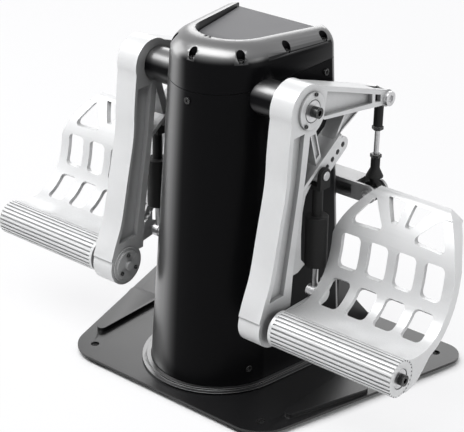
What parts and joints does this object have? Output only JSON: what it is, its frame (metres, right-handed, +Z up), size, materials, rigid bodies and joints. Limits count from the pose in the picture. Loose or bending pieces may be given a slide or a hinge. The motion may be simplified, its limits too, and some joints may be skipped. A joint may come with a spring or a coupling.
{
  "type": "flight simulator rudder pedals",
  "caption": "Flight simulator rudder pedals: hanging arms with lattice foot plates swing on a black column, joined by push rods and a rocker beam over a flat base.",
  "frame": {"origin": "on the floor under the middle of the whole device, feet on Z = 0", "axes": "+X to the user's right, +Y away from the user to the device's flat back, +Z up"},
  "size_m": [0.5048, 0.2528, 0.346],
  "materials": {
    "base_black": "semi-gloss powder coat",
    "column_black": "satin powder coat",
    "panel_grey": "satin",
    "cast_alloy": "satin cast",
    "steel": "brushed",
    "black_screw": "black oxide",
    "black_plastic": "fine grain",
    "rubber": "matte",
    "board": "solder mask"
  },
  "bodies": {
    "base": {"base_plate": "base_black", "rubber_feet": "rubber", "foot_ring": "base_black", "rear_braces": "base_black", "brace_bolts": "black_screw", "column_shell": "column_black", "top_cap": "column_black", "top_panel": "panel_grey", "rear_panel": "panel_grey", "casing_screws": "steel", "chassis_frame": "steel", "pivot_shaft": "steel", "shaft_sleeves": "column_black", "shaft_screws": "black_screw", "rocker_bracket": "column_black", "rocker_bearings": "steel", "centring_spring": "steel", "sensor_board": "board", "cable_socket": "black_plastic", "swing_stops": "rubber"},
    "rocker": {"rocker_beam": "cast_alloy", "rocker_axle": "steel", "rocker_screw": "steel", "rod_bolts": "steel", "sensor_magnet": "steel"},
    "right_arm": {"right_arm": "cast_alloy", "right_arm_bearings": "steel", "right_pivot_flange": "cast_alloy", "right_heel_axle": "steel", "right_axle_cover": "cast_alloy", "right_horn_pin": "steel", "right_arm_screws": "black_screw"},
    "right_rod": {"right_push_rod": "steel", "right_rod_ends": "black_plastic"},
    "right_pedal": {"right_footplate": "cast_alloy", "right_heel_bar": "cast_alloy", "right_brake_lever": "cast_alloy", "right_lever_bolt": "steel"},
    "right_damper": {"right_damper_body": "black_plastic", "right_damper_clevis": "black_plastic", "right_brake_spring": "steel"},
    "right_damper_rod": {"right_damper_rod": "steel"},
    "left_arm": {"left_arm": "cast_alloy", "left_arm_bearings": "steel", "left_pivot_flange": "cast_alloy", "left_heel_axle": "steel", "left_axle_cover": "cast_alloy", "left_horn_pin": "steel", "left_arm_screws": "black_screw"},
    "left_rod": {"left_push_rod": "steel", "left_rod_ends": "black_plastic"},
    "left_pedal": {"left_footplate": "cast_alloy", "left_heel_bar": "cast_alloy", "left_brake_lever": "cast_alloy", "left_lever_bolt": "steel"},
    "left_damper": {"left_damper_body": "black_plastic", "left_damper_clevis": "black_plastic", "left_brake_spring": "steel"},
    "left_damper_rod": {"left_damper_rod": "steel"}
  },
  "joints": [
    {"name": "right_swing", "type": "hinge", "parent": "base", "child": "right_arm", "pos_m": [0, -0.033, 0.2962], "axis": [1, 0, 0], "range_deg": [-15, 15], "stiffness_Nm_per_rad": 6},
    {"name": "left_swing", "type": "hinge", "parent": "base", "child": "left_arm", "pos_m": [0, -0.033, 0.2962], "axis": [1, 0, 0], "range_deg": [-15, 15]},
    {"name": "rocker_turn", "type": "hinge", "parent": "base", "child": "rocker", "pos_m": [0, 0.0785, 0.1755], "axis": [0, 1, 0], "range_deg": [-18.2, 18.2]},
    {"name": "right_rod_turn", "type": "hinge", "parent": "right_arm", "child": "right_rod", "pos_m": [0.0968, 0.085, 0.272], "axis": [1, 0, 0], "range_deg": [-18.5, 18.5]},
    {"name": "right_toe", "type": "hinge", "parent": "right_arm", "child": "right_pedal", "pos_m": [0.18, -0.0832, 0.099], "axis": [1, 0, 0], "range_deg": [-20, 0], "stiffness_Nm_per_rad": 2.5, "springref_deg": 14.32},
    {"name": "right_damper_turn", "type": "hinge", "parent": "right_arm", "child": "right_damper", "pos_m": [0.1005, -0.0131, 0.2266], "axis": [1, 0, 0], "range_deg": [-0.7, 0]},
    {"name": "right_damper_slide", "type": "slide", "parent": "right_damper", "child": "right_damper_rod", "axis": [0, -0.0173, -0.9999], "range_m": [0, 0.0245], "deforming": ["right_brake_spring"]},
    {"name": "left_rod_turn", "type": "hinge", "parent": "left_arm", "child": "left_rod", "pos_m": [-0.0968, 0.085, 0.272], "axis": [1, 0, 0], "range_deg": [-18.5, 18.5]},
    {"name": "left_toe", "type": "hinge", "parent": "left_arm", "child": "left_pedal", "pos_m": [-0.18, -0.0832, 0.099], "axis": [1, 0, 0], "range_deg": [-20, 0], "stiffness_Nm_per_rad": 2.5, "springref_deg": 14.32},
    {"name": "left_damper_turn", "type": "hinge", "parent": "left_arm", "child": "left_damper", "pos_m": [-0.1005, -0.0131, 0.2266], "axis": [1, 0, 0], "range_deg": [-0.7, 0]},
    {"name": "left_damper_slide", "type": "slide", "parent": "left_damper", "child": "left_damper_rod", "axis": [0, -0.0173, -0.9999], "range_m": [0, 0.0245], "deforming": ["left_brake_spring"]}
  ],
  "couplings": [
    {"joint": "left_swing", "follows": "right_swing", "ratio": -1},
    {"joint": "rocker_turn", "follows": "right_swing", "ratio": -1.19},
    {"joint": "right_rod_turn", "follows": "right_swing", "ratio": -1.21},
    {"joint": "right_damper_turn", "follows": "right_toe", "ratio": 0.0325},
    {"joint": "right_damper_slide", "follows": "right_toe", "m_per_rad": -0.0676},
    {"joint": "left_rod_turn", "follows": "right_swing", "ratio": 1.21},
    {"joint": "left_damper_turn", "follows": "left_toe", "ratio": 0.0325},
    {"joint": "left_damper_slide", "follows": "left_toe", "m_per_rad": -0.0676}
  ]
}
